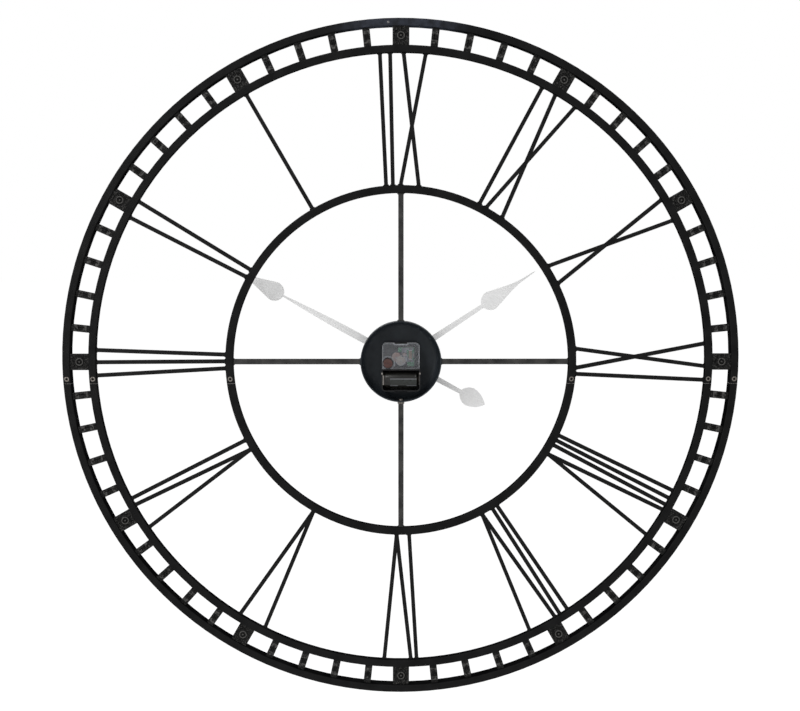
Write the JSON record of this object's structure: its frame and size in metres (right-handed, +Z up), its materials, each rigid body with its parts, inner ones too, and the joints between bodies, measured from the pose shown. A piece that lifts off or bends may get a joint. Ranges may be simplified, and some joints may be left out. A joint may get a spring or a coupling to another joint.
{
  "type": "wall clock",
  "caption": "Round open-frame wall clock in black metal tube with Roman numerals of straight bars, a hub cup and a battery quartz movement.",
  "frame": {"origin": "centre of the dial, on the plane of the wall behind the clock", "axes": "+Z up towards 12 o'clock, -Y the way the dial faces, +Y into the wall, +X towards 3 o'clock as read from the front"},
  "size_m": [0.9999, 0.0501, 1],
  "materials": {
    "black_paint": "satin",
    "steel": "zinc plated",
    "nickel_steel": "nickel plated",
    "soft_iron": "matt",
    "brass": "turned",
    "black_rubber": "matt",
    "black_plastic": "matt",
    "clear_plastic": "clear gloss",
    "battery_jacket": "gloss film",
    "white_plastic": "satin",
    "rose_plastic": "satin",
    "red_plastic": "satin",
    "green_board": "solder mask",
    "copper_wire": "enamelled copper",
    "hand_grey": "matt lacquer"
  },
  "bodies": {
    "clock": {"outer_ring_upper": "black_paint", "outer_ring_lower": "black_paint", "chapter_ring_upper": "black_paint", "chapter_ring_lower": "black_paint", "inner_ring_upper": "black_paint", "inner_ring_lower": "black_paint", "splice_tongues": "steel", "splice_screws": "steel", "hour_plates_upper": "black_paint", "hour_plates_lower": "black_paint", "minute_bars_upper": "black_paint", "minute_bars_lower": "black_paint", "spokes_upper": "black_paint", "spoke_lower": "black_paint", "hub_cup": "black_paint", "numeral_i": "black_paint", "numeral_ii": "black_paint", "numeral_iii": "black_paint", "numeral_iv": "black_paint", "numeral_v": "black_paint", "numeral_vi": "black_paint", "numeral_vii": "black_paint", "numeral_viii": "black_paint", "numeral_ix": "black_paint", "numeral_x": "black_paint", "numeral_xi": "black_paint", "numeral_xii": "black_paint", "hub_screw": "steel", "hub_jam_nut": "steel", "movement_case": "black_plastic", "movement_cover": "clear_plastic", "battery": "battery_jacket", "battery_plate": "nickel_steel", "battery_spring": "nickel_steel", "mounting_bushing": "brass", "mounting_nut": "brass", "brass_washer": "brass", "rubber_washer": "black_rubber", "train_plate": "black_plastic", "circuit_board": "green_board", "quartz_crystal": "nickel_steel", "stator_plate": "soft_iron", "coil_core": "soft_iron", "coil_bobbin": "white_plastic", "coil_winding": "copper_wire", "coil_screws": "steel"},
    "minute_hand_set": {"minute_arbor": "brass", "minute_hand": "hand_grey", "minute_hand_collet": "brass", "hand_nut": "brass"},
    "hour_hand_set": {"hour_wheel": "white_plastic", "hour_hand": "hand_grey", "hour_hand_collet": "brass"},
    "motion_wheel": {"motion_wheel": "white_plastic"},
    "setting_knob": {"setting_knob": "red_plastic"},
    "rotor": {"rotor": "rose_plastic"},
    "intermediate_wheel": {"intermediate_wheel": "white_plastic"},
    "second_wheel": {"second_wheel": "white_plastic"},
    "third_wheel": {"third_wheel": "rose_plastic"},
    "minute_gear": {"minute_gear": "white_plastic"}
  },
  "joints": [
    {"name": "minute_turn", "type": "hinge", "parent": "clock", "child": "minute_hand_set", "pos_m": [0, 0, 0], "axis": [0, 1, 0], "continuous": true},
    {"name": "hour_turn", "type": "hinge", "parent": "clock", "child": "hour_hand_set", "pos_m": [0, 0, 0], "axis": [0, 1, 0], "continuous": true},
    {"name": "motion_turn", "type": "hinge", "parent": "clock", "child": "motion_wheel", "pos_m": [0.00889, 0, -0.00141], "axis": [0, 1, 0], "continuous": true},
    {"name": "knob_turn", "type": "hinge", "parent": "clock", "child": "setting_knob", "pos_m": [0.01923, 0, -0.00305], "axis": [0, 1, 0], "continuous": true},
    {"name": "rotor_turn", "type": "hinge", "parent": "clock", "child": "rotor", "pos_m": [-0.00481, 0, 0.00959], "axis": [0, 1, 0], "continuous": true},
    {"name": "intermediate_turn", "type": "hinge", "parent": "clock", "child": "intermediate_wheel", "pos_m": [-0.00759, 0, 0.00394], "axis": [0, 1, 0], "continuous": true},
    {"name": "second_turn", "type": "hinge", "parent": "clock", "child": "second_wheel", "pos_m": [0, 0, 0], "axis": [0, 1, 0], "continuous": true},
    {"name": "third_turn", "type": "hinge", "parent": "clock", "child": "third_wheel", "pos_m": [0.00672, 0, 0.00504], "axis": [0, 1, 0], "continuous": true},
    {"name": "minute_gear_turn", "type": "hinge", "parent": "clock", "child": "minute_gear", "pos_m": [0, 0, 0], "axis": [0, 1, 0], "continuous": true}
  ],
  "couplings": [
    {"joint": "motion_turn", "follows": "minute_turn", "ratio": -0.33333},
    {"joint": "hour_turn", "follows": "minute_turn", "ratio": 0.083333},
    {"joint": "knob_turn", "follows": "minute_turn", "ratio": 0.6},
    {"joint": "intermediate_turn", "follows": "rotor_turn", "ratio": -0.16667},
    {"joint": "second_turn", "follows": "rotor_turn", "ratio": 0.033333},
    {"joint": "third_turn", "follows": "rotor_turn", "ratio": -0.0066667},
    {"joint": "minute_gear_turn", "follows": "rotor_turn", "ratio": 0.00055556}
  ]
}
